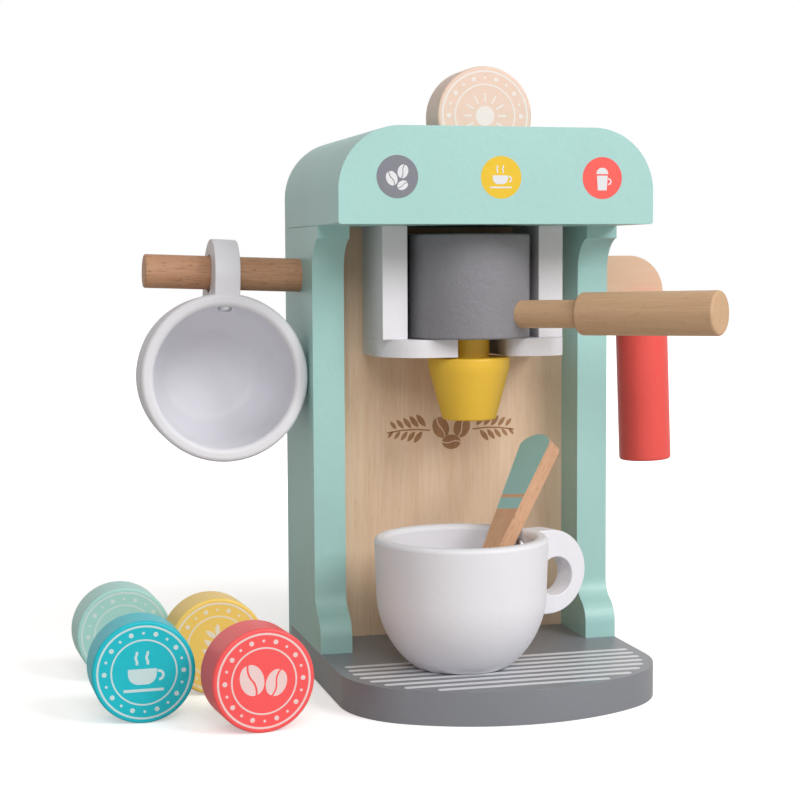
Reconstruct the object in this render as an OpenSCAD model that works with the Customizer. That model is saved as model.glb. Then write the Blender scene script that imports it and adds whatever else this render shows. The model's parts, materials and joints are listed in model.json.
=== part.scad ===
// Wooden toy coffee maker with two mugs, a stirrer and five coffee pods.
// All sizes are in millimetres. X runs across the machine, Y to its back and Z up.
// The origin is the centre of the footprint, on the surface that the toy stands on.

/* [Machine] */
// Width over the two side panels
machine_w = 165; // [162:1:168]
// Height to the top of the head
machine_h = 290; // [288:1:296]
// Thickness of the base board and of the side panels
panel_t = 17; // [15:0.5:18]
// Thickness of the back board
back_t = 7; // [5:0.5:10]
// Thickness of the plywood panel behind the mug bay
inner_t = 6; // [4:0.5:9]

/* [Head] */
// Height of the head, from its floor to its top
head_h = 48.5; // [46:0.5:50]
// Radius of the two upper corners of the head and of the back board
corner_r = 32; // [26:1:36]
// Thickness of the head's front, top and cheeks
shell_t = 9; // [7:0.5:10]
// Thickness of the head's floor
floor_t = 7; // [6:0.5:9]

/* [Group] */
// Clear width between the two walls that guide the portafilter
group_gap = 72; // [70:1:74]
// Thickness of each of these walls
group_t = 13.5; // [12:0.5:15]
// Thickness of the forked plate under the portafilter
fork_t = 9.3; // [8:0.1:9.5]
// Width of the slot in the forked plate
slot_w = 28.4; // [27:0.2:30]

/* [Portafilter] */
// Radius of the drum
drum_r = 32.2; // [30:0.1:33]
// Height of the drum
drum_h = 54.5; // [50:0.5:56]
// Direction of the handle, in degrees clockwise from the right-hand side
handle_angle = 47.5; // [40:0.5:60]
// Length of the grip
grip_l = 75.9; // [65:0.1:85]
// Radius of the grip at its inner end
grip_r = 11; // [10:0.1:12]

/* [Mugs] */
// Outer radius of a mug at its rim
mug_r = 44.5; // [43:0.1:44.5]
// Height of a mug
mug_h = 66.4; // [64:0.1:68]
// Thickness of a mug's wall
mug_wall = 7; // [5:0.1:7.2]
// Thickness of the ring handle
ring_t = 13.5; // [11:0.1:14.5]
// How far the mouth of the hanging mug tips up, in degrees
hang_tilt = 1.5; // [0:0.5:6]

/* [Pods] */
// Radius of a coffee pod
pod_r = 25.2; // [23:0.1:25.4]
// Thickness of a coffee pod
pod_t = 23.3; // [20:0.1:24]

/* [Stirrer] */
// Length of the stirrer
stirrer_l = 125.3; // [115:0.1:132]
// Width of the stirrer just below its round end
stirrer_top_w = 21; // [18:0.5:22]
// Width of the stirrer at its lower end
stirrer_low_w = 6.6; // [5:0.1:8]

/* [Steam wand] */
// Radius of the steam wand
wand_r = 14.7; // [13:0.1:15]
// Length of the steam wand
wand_l = 94.2; // [85:0.1:100]
// How far the wand leans outwards, in degrees
wand_lean = 2; // [0:0.5:4]

/* [Hidden] */

$fn = 96;

// Paint and timber
MINT = [0.68, 0.85, 0.83];
GREY = [0.50, 0.50, 0.53];
WHITE = [0.92, 0.92, 0.93];
YELLOW = [0.91, 0.73, 0.24];
CORAL = [0.97, 0.37, 0.35];
BEIGE = [0.90, 0.78, 0.71];
TEAL = [0.00, 0.74, 0.80];
POD_MINT = [0.63, 0.82, 0.78];
BEECH = [0.80, 0.58, 0.42];
PLY = [0.85, 0.74, 0.60];
STEEL = [0.70, 0.70, 0.72];

// Gap between pieces that touch, and between pieces that move on each other
snug = 0.05;
play = 0.3;
// Something to cut past a face
over = 1;

// The machine
half_w = machine_w / 2;
panel_in = half_w - panel_t;
head_z = machine_h - head_h;
rear_y = 92;
panel_y = 26;
capital_y = 12;
inner_y = 51.5;
fascia_y = -38;

// The base board: straight sides, two round corners and a bowed front
base_front = -92;
base_corner_r = 50;
base_bow_r = 112;
bow_y = base_front + base_bow_r;
base_corner_x = half_w - base_corner_r;
base_corner_y = bow_y - sqrt(pow(base_bow_r - base_corner_r, 2) - pow(base_corner_x, 2));

// The group: two walls on a forked plate, with the portafilter between them
group_in = group_gap / 2;
group_out = group_in + group_t;
group_y = 6;
fork_z = 173;
fork_top = fork_z + fork_t;
fork_front = -3;
fork_left_r = 25;
fork_right_r = 11;
slot_left = -11.4;
slot_right = slot_left + slot_w;
slot_mid = (slot_left + slot_right) / 2;
slot_end_y = 22;
tine_r = 9;

// The portafilter turns about a vertical axis
filter_y = 15;
drum_z = fork_top + play;
drum_top = drum_z + drum_h;
basket_r = 26;
basket_z = drum_top - 24.5;
neck_r = 10.95;
spigot_r = 7;
spigot_z = drum_z + 15;
spout_z = 139;
spout_top_z = fork_z - 0.7;
spout_top_r = 21.85;
spout_low_r = 14.2;
spout_lean = 15.1;
spout_shoulder_r = 20;
spout_edge = 1.3;
handle_z = 194.7;
handle_rise = 1;
handle_neck_r = 7.3;
handle_neck_in = 20;
grip_from = 67;
grip_bore = 18;
grip_swell = 0.25;

// A mug, with its axis on Z and its handle towards +X: its wall leans out above a round bowl
mug_lean = 2;
mug_bowl_r = 47.5;
mug_bowl_z = 36.5;
mug_foot_r = 4;
mug_inner_foot_r = 8;
mug_floor = 9.4;
lip_out_r = 2.5;
lip_in_r = 3;
ring_r = 22.1;
ring_x = 51.3;
ring_z = 43.8;
hole_r = 10.15;
hole_x = 54.8;
hole_z = 41.3;
screw_h = 58;
screw_seat = 0.2;

// Where the two mugs stand and hang
tray_x = -17.6;
tray_y = -28.7;
tray_turn = 16;
peg_r = 9;
peg_y = 60.5;
peg_z = 215.7;
peg_out = 84.3;
peg_in = 12;
peg_rise = 2;
hang_x = -125.3;
hang_drop = 0.65;
hang_roll = 2.5;
hole_at = [hang_x, peg_y, peg_z + (-half_w - hang_x) * tan(peg_rise) - hang_drop];

// The steam wand hangs on a pin through a round-ended arm
arm_y = 60.5;
arm_t = 13.4;
arm_end_x = 106.7;
arm_end_z = 204.9;
arm_r = 20.6;
pin_at = [116.8, arm_y, 195];
pin_r = 3;
pin_half = 13.6;
wand_above = 8;
wand_slot_floor = 14.6;

// The stirrer leans in the mug on the tray
stirrer_at = [-23.6, -40.1, 29.9];
stirrer_lean = 38.5;
stirrer_way = 36.6;
stirrer_twist = -9.7;
stirrer_t = 8.9;
stirrer_end_r = 13;
stirrer_shoulder_r = 4;
stirrer_tail = 22;

// The pods: the middle of the front face of each, and how far it is turned
pod_edge = 1.2;
teal_at = [-180.7, -37.7, pod_r];
teal_yaw = 1.6;
coral_at = [-127.8, -71, pod_r];
coral_yaw = 6.3;
yellow_at = [-137.5, 8.9, pod_r];
yellow_yaw = 4;
mint_at = [-180.9, 51.9, pod_r];
mint_yaw = 3.2;
pod_well_wall = 4;
pod_slot_half = 27;
pod_top_y = -14;
pod_top_z = machine_h + 7;
pod_slot_front = pod_top_y - 1;
pod_slot_d = pod_t + 2;
pod_well_floor = pod_top_z - pod_r - play;

// Fasteners, and how much wider and deeper their holes are
wood_screw_r = 2;
wood_screw_head_r = 3.8;
wood_screw_head_h = 2.4;
pan_head_r = 3.8;
pan_head_h = 3;
pan_edge = 1.8;
pilot = 0.1;
cross_l = 5;
cross_w = 0.9;
cross_depth = 1.4;
washer_r = 6.5;
washer_t = 1.2;
base_screw_l = 30;
base_screw_y = [40, 78];
back_screw_l = 28;
back_screw_z = [50, 130, 215];
fork_screw_l = 28;
fork_screw_y = [20, 42];
arm_screw_l = 36;
arm_screw_z = [196, 213];
arm_screw_y = arm_y + 2;
drum_screw_in = 20;
mug_screw_l = 20;
dowel_r = 3;
dowel_l = 20.4;
dowel_in_panel = 16;
dowel_x = half_w - (panel_t + shell_t) / 2;
dowel_y = [40, 78];
panel_mid = half_w - panel_t / 2;
group_mid = group_in + group_t / 2;

// Points along an arc, from angle a0 to angle a1
function arc(cx, cy, r, a0, a1, steps = 16) =
    [for (i = [0:steps]) let (a = a0 + (a1 - a0) * i / steps) [cx + r * cos(a), cy + r * sin(a)]];

// A turned rod with rounded ends, which swells a little towards its upper end if asked
module rod(r, h, edge, swell = 0) {
    rotate_extrude() polygon(concat(
        [[0, 0]],
        arc(r - edge, edge, edge, -90, 0, 6),
        arc(r + swell - edge, h - edge, edge, 0, 90, 6),
        [[0, h]]
    ));
}

// The cross in the head of a screw
module screw_cross() {
    for (turn = [0, 90]) rotate([0, 0, turn]) cube([cross_l, cross_w, 2 * cross_depth], center = true);
}

// A countersunk wood screw that points up, its head flush with z = 0
module wood_screw(length) {
    difference() {
        union() {
            cylinder(r1 = wood_screw_head_r, r2 = wood_screw_r, h = wood_screw_head_h, $fn = 32);
            cylinder(r = wood_screw_r, h = length, $fn = 32);
        }
        screw_cross();
    }
}

// The rounded head of a pan-head screw, on its underside
module pan_head() {
    difference() {
        rotate_extrude() polygon(concat(
            [[0, 0], [pan_head_r, 0]],
            arc(pan_head_r - pan_edge, pan_head_h - pan_edge, pan_edge, 0, 90, 6),
            [[0, pan_head_h]]
        ));
        translate([0, 0, pan_head_h]) screw_cross();
    }
}

// The hole that such a screw sits in
module wood_screw_hole(length) {
    translate([0, 0, -over]) cylinder(r = wood_screw_head_r + pilot, h = over, $fn = 32);
    cylinder(r1 = wood_screw_head_r + pilot, r2 = wood_screw_r + pilot, h = wood_screw_head_h, $fn = 32);
    cylinder(r = wood_screw_r + pilot, h = length + pilot, $fn = 32);
}

// Each group of fasteners has one module that puts it in place
module at_base_screws(sides = [-1, 1]) {
    for (side = sides, y = base_screw_y) translate([side * panel_mid, y, 0.4]) children();
}

module at_back_screws(sides = [-1, 1]) {
    for (side = sides, z = back_screw_z)
        translate([side * panel_mid, rear_y + back_t - 0.3, z]) rotate([90, 0, 0]) children();
}

module at_fork_screws(sides = [-1, 1]) {
    for (side = sides, y = fork_screw_y) translate([side * group_mid, y, fork_z + 0.3]) children();
}

module at_arm_screws() {
    for (z = arm_screw_z) translate([panel_in + 0.3, arm_screw_y, z]) rotate([0, 90, 0]) children();
}

module at_dowels(sides = [-1, 1]) {
    for (side = sides, y = dowel_y) translate([side * dowel_x, y, head_z - dowel_in_panel]) children();
}

// The base board, seen from above
module base_outline() {
    // The bow lies in a wedge that runs from its centre past the two corners
    wedge = 2.1 * [base_corner_x, bow_y - base_corner_y];
    translate([-half_w, base_corner_y]) square([machine_w, rear_y - base_corner_y]);
    for (side = [-1, 1]) translate([side * base_corner_x, base_corner_y]) circle(r = base_corner_r);
    translate([0, bow_y]) intersection() {
        circle(r = base_bow_r, $fn = 240);
        polygon([[0, 0], [-wedge[0], -wedge[1]], [wedge[0], -wedge[1]]]);
    }
}

module base() {
    color(GREY) difference() {
        linear_extrude(panel_t) base_outline();
        at_base_screws() wood_screw_hole(base_screw_l);
    }
}

// A side panel, seen from the right: its front has a foot below and a capital above
module side_panel_outline() {
    foot_top = 48;
    foot_low = 25;
    step = panel_y - capital_y;
    turn = 2 * atan(step / (foot_top - foot_low));
    ogee_r = step / (2 * (1 - cos(turn)));
    capital_low = head_z - 23.5;
    capital_edge = head_z - 6.5;
    rise = capital_edge - capital_low;
    cove_r = (step * step + rise * rise) / (2 * step);
    polygon(concat(
        [[rear_y, panel_t], [rear_y, head_z], [capital_y, head_z], [capital_y, capital_edge]],
        arc(panel_y - cove_r, capital_low, cove_r, asin(rise / cove_r), 0),
        arc(panel_y - ogee_r, foot_top, ogee_r, 0, -turn),
        arc(capital_y + ogee_r, foot_low, ogee_r, 180 - turn, 180),
        [[capital_y, panel_t]]
    ));
}

module side_panel(side) {
    difference() {
        translate([side > 0 ? panel_in : -half_w, 0, 0])
            rotate([90, 0, 90])
                linear_extrude(panel_t) side_panel_outline();
        at_base_screws([side]) wood_screw_hole(base_screw_l);
        at_back_screws([side]) wood_screw_hole(back_screw_l);
        at_dowels([side]) cylinder(r = dowel_r + pilot, h = dowel_in_panel + over, $fn = 32);
    }
}

module side_panel_left() {
    color(MINT) difference() {
        side_panel(-1);
        at_peg() translate([0, 0, -pilot]) cylinder(r = peg_r + snug, h = peg_in + 10);
    }
}

module side_panel_right() {
    color(MINT) difference() {
        side_panel(1);
        at_arm_screws() wood_screw_hole(arm_screw_l);
    }
}

// A front view that is square below and round at its two upper corners
module arch_outline(w, h, r) {
    translate([-w / 2, 0]) square([w, h - r]);
    translate([-w / 2 + r, 0]) square([w - 2 * r, h]);
    intersection() {
        translate([-w / 2, 0]) square([w, h]);
        for (side = [-1, 1]) translate([side * (w / 2 - r), h - r]) circle(r = r);
    }
}

// A board that stands with its front face at y = front
module upright(front, thickness, bottom) {
    translate([0, front + thickness, bottom]) rotate([90, 0, 0]) linear_extrude(thickness) children();
}

module back_board() {
    color(MINT) difference() {
        upright(rear_y, back_t, 0) arch_outline(machine_w, machine_h, corner_r);
        at_back_screws() wood_screw_hole(back_screw_l);
    }
}

module inner_panel() {
    color(PLY)
        translate([-panel_in, inner_y, panel_t])
            cube([2 * panel_in, inner_t, head_z - panel_t]);
}

// The head is an arched hood behind a solid front, closed below by a floor
module head_hood() {
    front = fascia_y + shell_t;
    color(MINT) difference() {
        upright(front, rear_y - front, head_z) difference() {
            arch_outline(machine_w, head_h, corner_r);
            translate([0, -over])
                arch_outline(machine_w - 2 * shell_t, head_h - shell_t + over, corner_r - shell_t);
        }
        translate([-pod_slot_half, pod_slot_front, machine_h - shell_t - over])
            cube([2 * pod_slot_half, pod_slot_d, shell_t + 2 * over]);
    }
}

module front_fascia() {
    color(MINT) upright(fascia_y, shell_t, head_z) arch_outline(machine_w, head_h, corner_r);
}

module head_floor() {
    inside = half_w - shell_t;
    front = fascia_y + shell_t;
    color(MINT) difference() {
        translate([-inside, front, head_z]) cube([2 * inside, rear_y - front, floor_t]);
        at_dowels() cylinder(r = dowel_r + pilot, h = dowel_l + 4 * pilot, $fn = 32);
    }
}

// A tray under the slot in the head, on which the top pod stands
module pod_well() {
    well_top = machine_h - shell_t;
    half = pod_slot_half + pod_well_wall;
    color(WHITE) difference() {
        translate([-half, pod_slot_front - pod_well_wall, pod_well_floor - pod_well_wall])
            cube([2 * half, pod_slot_d + 2 * pod_well_wall, well_top - pod_well_floor + pod_well_wall]);
        translate([-pod_slot_half, pod_slot_front, pod_well_floor])
            cube([2 * pod_slot_half, pod_slot_d, well_top - pod_well_floor + over]);
    }
}

module group_wall(side) {
    color(WHITE) difference() {
        translate([side > 0 ? group_in : -group_out, group_y, fork_top])
            cube([group_t, inner_y - group_y, head_z - fork_top]);
        at_fork_screws([side]) wood_screw_hole(fork_screw_l);
    }
}

module group_wall_left() {
    group_wall(-1);
}

module group_wall_right() {
    group_wall(1);
}

// The forked plate: its slot lets the neck of the portafilter in from the front
module fork_outline() {
    difference() {
        translate([-group_out, fork_front]) square([2 * group_out, inner_y - fork_front]);
        corner_cut([-group_out, fork_front], fork_left_r);
        mirror([1, 0]) corner_cut([-group_out, fork_front], fork_right_r);
        translate([slot_left, fork_front - over]) square([slot_w, slot_end_y - fork_front + over]);
        translate([slot_mid, slot_end_y]) circle(r = slot_w / 2);
        corner_cut([slot_right, fork_front], tine_r);
    }
}

// What a round corner of radius r leaves over of the square corner at this place
module corner_cut(place, r) {
    translate(place) difference() {
        translate([-over, -over]) square(r + over);
        translate([r, r]) circle(r = r);
    }
}

module fork_plate() {
    color(WHITE) difference() {
        translate([0, 0, fork_z]) linear_extrude(fork_t) fork_outline();
        at_fork_screws() wood_screw_hole(fork_screw_l);
    }
}

// The peg leaves the left panel and rises a little towards its free end
module at_peg() {
    translate([-half_w, peg_y, peg_z])
        rotate([0, -90 + peg_rise, 0])
            translate([0, 0, -peg_in]) children();
}

module mug_peg() {
    color(BEECH) at_peg() rod(peg_r, peg_in + peg_out, 1.2);
}

module wand_arm() {
    color(BEECH) difference() {
        translate([0, arm_y + arm_t / 2, 0]) rotate([90, 0, 0]) linear_extrude(arm_t) union() {
            translate([half_w, arm_end_z - arm_r]) square([arm_end_x - half_w, 2 * arm_r]);
            translate([arm_end_x, arm_end_z]) circle(r = arm_r);
        }
        translate(pin_at) rotate([90, 0, 0]) cylinder(r = pin_r + snug, h = arm_t + 2 * over, center = true);
        at_arm_screws() wood_screw_hole(arm_screw_l);
    }
}

module wand_pin() {
    color(STEEL) translate(pin_at) rotate([90, 0, 0]) cylinder(r = pin_r, h = 2 * pin_half, center = true);
}

// The wand is a turned bar, slotted at the top to straddle the arm
module steam_wand() {
    color(CORAL) translate(pin_at) rotate([0, -wand_lean, 0]) difference() {
        translate([0, 0, wand_above - wand_l]) rod(wand_r, wand_l, 1.5);
        translate([-wand_r - over, -arm_t / 2 - play, -wand_slot_floor])
            cube([2 * (wand_r + over), arm_t + 2 * play, wand_l]);
        rotate([90, 0, 0]) cylinder(r = pin_r + 0.15, h = 2 * (wand_r + over), center = true);
    }
}

module base_screws() {
    color(STEEL) at_base_screws() wood_screw(base_screw_l);
}

module back_screws() {
    color(STEEL) at_back_screws() wood_screw(back_screw_l);
}

module fork_screws() {
    color(STEEL) at_fork_screws() wood_screw(fork_screw_l);
}

module arm_screws() {
    color(STEEL) at_arm_screws() wood_screw(arm_screw_l);
}

module panel_dowels() {
    color(BEECH) at_dowels() translate([0, 0, 2 * pilot]) cylinder(r = dowel_r, h = dowel_l, $fn = 32);
}

// The drum turns on the spigot above the spout
module at_filter() {
    translate([0, filter_y, 0]) children();
}

// Everything on the handle lies along +Z of this frame, which rises a little outwards
module at_handle() {
    at_filter()
        rotate([0, 0, -handle_angle])
            translate([0, 0, handle_z])
                rotate([0, 90 - handle_rise, 0]) children();
}

// The spout is a cone that turns upright in a round shoulder near its top
module spout() {
    h = spout_top_z - spout_z;
    shoulder_x = spout_top_r - spout_shoulder_r;
    cone_top_r = shoulder_x + spout_shoulder_r * cos(spout_lean);
    cone_h = (cone_top_r - spout_low_r) / tan(spout_lean);
    shoulder_z = cone_h + spout_shoulder_r * sin(spout_lean);
    low_edge_x = spout_low_r - spout_edge * (1 - sin(spout_lean)) / cos(spout_lean);
    color(YELLOW) at_filter() difference() {
        union() {
            translate([0, 0, spout_z]) rotate_extrude() polygon(concat(
                [[0, 0]],
                arc(low_edge_x, spout_edge, spout_edge, -90, -spout_lean, 6),
                arc(shoulder_x, shoulder_z, spout_shoulder_r, -spout_lean, 0, 8),
                arc(spout_top_r - spout_edge, h - spout_edge, spout_edge, 0, 90, 6),
                [[0, h]]
            ));
            translate([0, 0, spout_top_z - over])
                cylinder(r = neck_r, h = fork_top - 0.1 - spout_top_z + over);
            translate([0, 0, fork_top - over]) cylinder(r = spigot_r, h = spigot_z - fork_top + over);
        }
        translate([0, 0, spigot_z - drum_screw_in - over])
            cylinder(r = wood_screw_r + pilot, h = drum_screw_in + 2 * over);
    }
}

module portafilter_drum() {
    color(GREY) difference() {
        at_filter() difference() {
            translate([0, 0, drum_z]) rod(drum_r, drum_h, 1.2);
            translate([0, 0, basket_z]) cylinder(r = basket_r, h = drum_h);
            translate([0, 0, drum_z - over]) cylinder(r = spigot_r + 0.15, h = spigot_z - drum_z + 2 * over);
            translate([0, 0, drum_z]) cylinder(r = wood_screw_r + play, h = drum_h);
        }
        at_handle() translate([0, 0, handle_neck_in - 0.5]) cylinder(r = handle_neck_r + snug, h = drum_r);
    }
}

// The screw and washer that keep the drum on the spout
module drum_screw() {
    washer_z = basket_z + play;
    head_low = washer_z + washer_t;
    shank_low = spigot_z - drum_screw_in;
    color(STEEL) at_filter() {
        translate([0, 0, washer_z]) difference() {
            cylinder(r = washer_r, h = washer_t);
            translate([0, 0, -over]) cylinder(r = wood_screw_r, h = washer_t + 2 * over);
        }
        translate([0, 0, head_low]) pan_head();
        translate([0, 0, shank_low]) cylinder(r = wood_screw_r, h = head_low + over - shank_low);
    }
}

module handle_neck() {
    color(BEECH)
        at_handle()
            translate([0, 0, handle_neck_in])
                cylinder(r = handle_neck_r, h = grip_from + grip_bore - 0.5 - handle_neck_in);
}

module handle_grip() {
    color(BEECH) at_handle() difference() {
        translate([0, 0, grip_from]) rod(grip_r, grip_l, 1.5, grip_swell);
        translate([0, 0, grip_from - over]) cylinder(r = handle_neck_r + snug, h = grip_bore + over);
    }
}

// The outline of a mug below its lip, from its flat foot at height low up to its leaning wall,
// where r is its radius at the rim, bowl_r that of its bowl and edge that of its foot's edge
function belly(r, bowl_r, edge, low) =
    let (
        wall_r = r - (mug_h - mug_bowl_z) * tan(mug_lean),
        cx = wall_r - bowl_r * cos(mug_lean),
        cz = mug_bowl_z + bowl_r * sin(mug_lean),
        dz = cz - low - edge,
        dx = sqrt(pow(bowl_r - edge, 2) - dz * dz),
        start = atan(dz / dx)
    )
    concat(
        arc(cx + dx, low + edge, edge, -90, -start, 8),
        arc(cx, cz, bowl_r, -start, -mug_lean, 16)
    );

module mug_outside(gap = 0) {
    lip_x = mug_r + gap - lip_out_r * (1 + sin(mug_lean)) / cos(mug_lean);
    rotate_extrude() polygon(concat(
        [[0, -gap]],
        belly(mug_r + gap, mug_bowl_r + gap, mug_foot_r + gap, -gap),
        arc(lip_x, mug_h - lip_out_r, lip_out_r, -mug_lean, 90, 6),
        [[0, mug_h]]
    ));
}

module mug_inside() {
    r = mug_r - mug_wall;
    lip_x = r + lip_in_r * (1 - sin(mug_lean)) / cos(mug_lean);
    rotate_extrude() polygon(concat(
        [[0, mug_floor]],
        belly(r, mug_bowl_r - mug_wall, mug_inner_foot_r, mug_floor),
        arc(lip_x, mug_h - lip_in_r, lip_in_r, 180 - mug_lean, 90, 6),
        [[lip_x, mug_h + over], [0, mug_h + over]]
    ));
}

// The screw that holds the handle goes out through the wall of the mug
module at_mug_screw() {
    translate([mug_r - mug_wall + screw_seat, 0, screw_h]) rotate([0, 90, 0]) children();
}

module mug_screw_shape() {
    rotate([180, 0, 0]) pan_head();
    cylinder(r = wood_screw_r, h = mug_screw_l, $fn = 32);
}

module mug_shape() {
    difference() {
        mug_outside();
        mug_inside();
        at_mug_screw() cylinder(r = wood_screw_r + pilot, h = mug_screw_l + over, $fn = 32);
        at_mug_screw() translate([0, 0, -3]) cylinder(r = pan_head_r + 2 * pilot, h = 3, $fn = 48);
    }
}

// The ring handle is cut from a board and hollowed to fit the mug
module ring_shape() {
    difference() {
        rotate([90, 0, 0]) translate([0, 0, -ring_t / 2]) linear_extrude(ring_t) difference() {
            union() {
                translate([ring_x, ring_z]) circle(r = ring_r);
                translate([mug_r - 12, ring_z - ring_r]) square([ring_x - mug_r + 12, 2 * ring_r]);
            }
            translate([hole_x, hole_z]) circle(r = hole_r);
        }
        mug_outside(snug);
        at_mug_screw() cylinder(r = wood_screw_r + pilot, h = mug_screw_l + over, $fn = 32);
    }
}

// The mug on the tray
module at_tray() {
    translate([tray_x, tray_y, panel_t + snug]) rotate([0, 0, tray_turn]) children();
}

// The mug on the peg: its handle is up and its mouth faces the front
module at_peg_hook() {
    translate(hole_at)
        rotate([0, hang_roll, 0])
            rotate([-hang_tilt, 0, 0])
                rotate([0, -90, 0])
                    rotate([90, 0, 0])
                        translate([-hole_x, 0, -hole_z]) children();
}

module cup_bowl() {
    color(WHITE) at_tray() mug_shape();
}

module cup_handle() {
    color(WHITE) at_tray() ring_shape();
}

module cup_screw() {
    color(STEEL) at_tray() at_mug_screw() mug_screw_shape();
}

module mug_bowl() {
    color(WHITE) at_peg_hook() mug_shape();
}

module mug_handle() {
    color(WHITE) at_peg_hook() ring_shape();
}

module mug_screw() {
    color(STEEL) at_peg_hook() at_mug_screw() mug_screw_shape();
}

// The stirrer is flat and tapers towards its tail, and its upper end is round
module stirrer() {
    low = stirrer_low_w / 2;
    shoulder_x = stirrer_top_w / 2 - stirrer_shoulder_r;
    reach = stirrer_end_r - stirrer_shoulder_r;
    turn = acos(shoulder_x / reach);
    end_z = stirrer_l - stirrer_end_r;
    shoulder_z = end_z + reach * sin(turn);
    color(BEECH)
        translate(stirrer_at) rotate([0, stirrer_lean, stirrer_way]) rotate([0, 0, stirrer_twist])
            rotate([90, 0, 90]) linear_extrude(stirrer_t, center = true) polygon(concat(
                [[-low, stirrer_tail], [-low, 0], [low, 0], [low, stirrer_tail]],
                arc(shoulder_x, shoulder_z, stirrer_shoulder_r, 0, turn, 6),
                arc(0, end_z, stirrer_end_r, turn, 180 - turn, 12),
                arc(-shoulder_x, shoulder_z, stirrer_shoulder_r, 180 - turn, 180, 6)
            ));
}

// A pod stands on edge: the place is the middle of its front face, and yaw turns it to the right
module pod(place, yaw = 0) {
    translate(place) rotate([0, 0, yaw]) rotate([-90, 0, 0]) rod(pod_r, pod_t, pod_edge);
}

module pod_top() {
    color(BEIGE) pod([0, pod_top_y, pod_top_z]);
}

module pod_teal() {
    color(TEAL) pod(teal_at, teal_yaw);
}

module pod_coral() {
    color(CORAL) pod(coral_at, coral_yaw);
}

module pod_yellow() {
    color(YELLOW) pod(yellow_at, yellow_yaw);
}

module pod_mint() {
    color(POD_MINT) pod(mint_at, mint_yaw);
}

base();
side_panel_left();
side_panel_right();
back_board();
inner_panel();
head_hood();
head_floor();
front_fascia();
pod_well();
group_wall_left();
group_wall_right();
fork_plate();
mug_peg();
wand_arm();
wand_pin();
steam_wand();
base_screws();
back_screws();
fork_screws();
arm_screws();
panel_dowels();
spout();
portafilter_drum();
drum_screw();
handle_neck();
handle_grip();
mug_bowl();
mug_handle();
mug_screw();
cup_bowl();
cup_handle();
cup_screw();
stirrer();
pod_top();
pod_teal();
pod_coral();
pod_yellow();
pod_mint();
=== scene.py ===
"""A wooden toy coffee maker with two mugs, a stirrer and five pods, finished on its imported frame."""
import json
from math import acos, asin, atan, atan2, ceil, cos, degrees, inf, radians, sin, sqrt, tan

import bmesh
import bpy
from mathutils import Matrix, Vector


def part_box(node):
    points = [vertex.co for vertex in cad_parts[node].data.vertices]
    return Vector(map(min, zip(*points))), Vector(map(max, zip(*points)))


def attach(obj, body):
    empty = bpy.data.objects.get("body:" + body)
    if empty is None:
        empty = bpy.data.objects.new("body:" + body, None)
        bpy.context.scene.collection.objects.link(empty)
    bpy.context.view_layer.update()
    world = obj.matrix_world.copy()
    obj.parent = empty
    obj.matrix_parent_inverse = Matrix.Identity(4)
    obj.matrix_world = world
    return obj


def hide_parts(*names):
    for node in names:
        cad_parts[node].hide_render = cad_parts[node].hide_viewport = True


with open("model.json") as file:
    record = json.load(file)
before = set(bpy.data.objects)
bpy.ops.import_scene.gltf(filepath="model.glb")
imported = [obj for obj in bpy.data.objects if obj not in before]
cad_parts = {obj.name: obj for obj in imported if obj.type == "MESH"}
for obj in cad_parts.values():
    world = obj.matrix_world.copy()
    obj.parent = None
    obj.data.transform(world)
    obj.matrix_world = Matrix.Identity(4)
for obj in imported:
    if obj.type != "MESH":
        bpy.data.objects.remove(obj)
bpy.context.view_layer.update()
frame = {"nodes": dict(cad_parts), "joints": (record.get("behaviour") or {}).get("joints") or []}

scene = bpy.context.scene
scene.view_settings.view_transform = "Standard"


# --- Camera ---------------------------------------------------------------
# A studio camera with a long lens stands in front of the toy, a little to the left of it and
# above its middle. It looks slightly down, and its own tilt is under a degree.
camera_at = Vector((-0.2745, -0.8867, 0.2247))
camera_azimuth = radians(14.694)
camera_pitch = radians(4.578)
camera_roll = radians(-0.286)
forward = Vector((
    sin(camera_azimuth) * cos(camera_pitch),
    cos(camera_azimuth) * cos(camera_pitch),
    -sin(camera_pitch),
))
level = Vector((cos(camera_azimuth), -sin(camera_azimuth), 0))
upright = level.cross(forward)
right = level * cos(camera_roll) + upright * sin(camera_roll)
up = upright * cos(camera_roll) - level * sin(camera_roll)

camera = bpy.data.objects.new("camera", bpy.data.cameras.new("camera"))
camera.data.sensor_width = 36
camera.data.lens = 79.7
camera.matrix_world = Matrix.Translation(camera_at) @ Matrix((right, up, -forward)).transposed().to_4x4()
scene.collection.objects.link(camera)
scene.camera = camera


# --- Base board -----------------------------------------------------------
# A 17 mm board under satin grey paint. Its front is a wide bow between two round corners.
# The side panels stand on it and four screws come up through it. White stripes mark a drip tray.
low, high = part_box("base")
half_w = high.x
rear_y = high.y
board_t = high.z
corner_r = 0.050
bow_r = 0.112
bow_y = low.y + bow_r
corner_x = half_w - corner_r
corner_y = bow_y - sqrt((bow_r - corner_r) ** 2 - corner_x ** 2)
corner_turn = degrees(atan2(bow_y - corner_y, corner_x))
panel_t = board_t
panel_mid = half_w - panel_t / 2
screw_hole_r = 0.0039
base_screw_y = (0.040, 0.078)
base_screws = [(side * panel_mid, y, screw_hole_r) for side in (-1, 1) for y in base_screw_y]

# Lengths that count as none: in a comparison or a merge, and where a line closes or a cut passes.
hair = 1e-6
fine_hair = 1e-7


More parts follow.
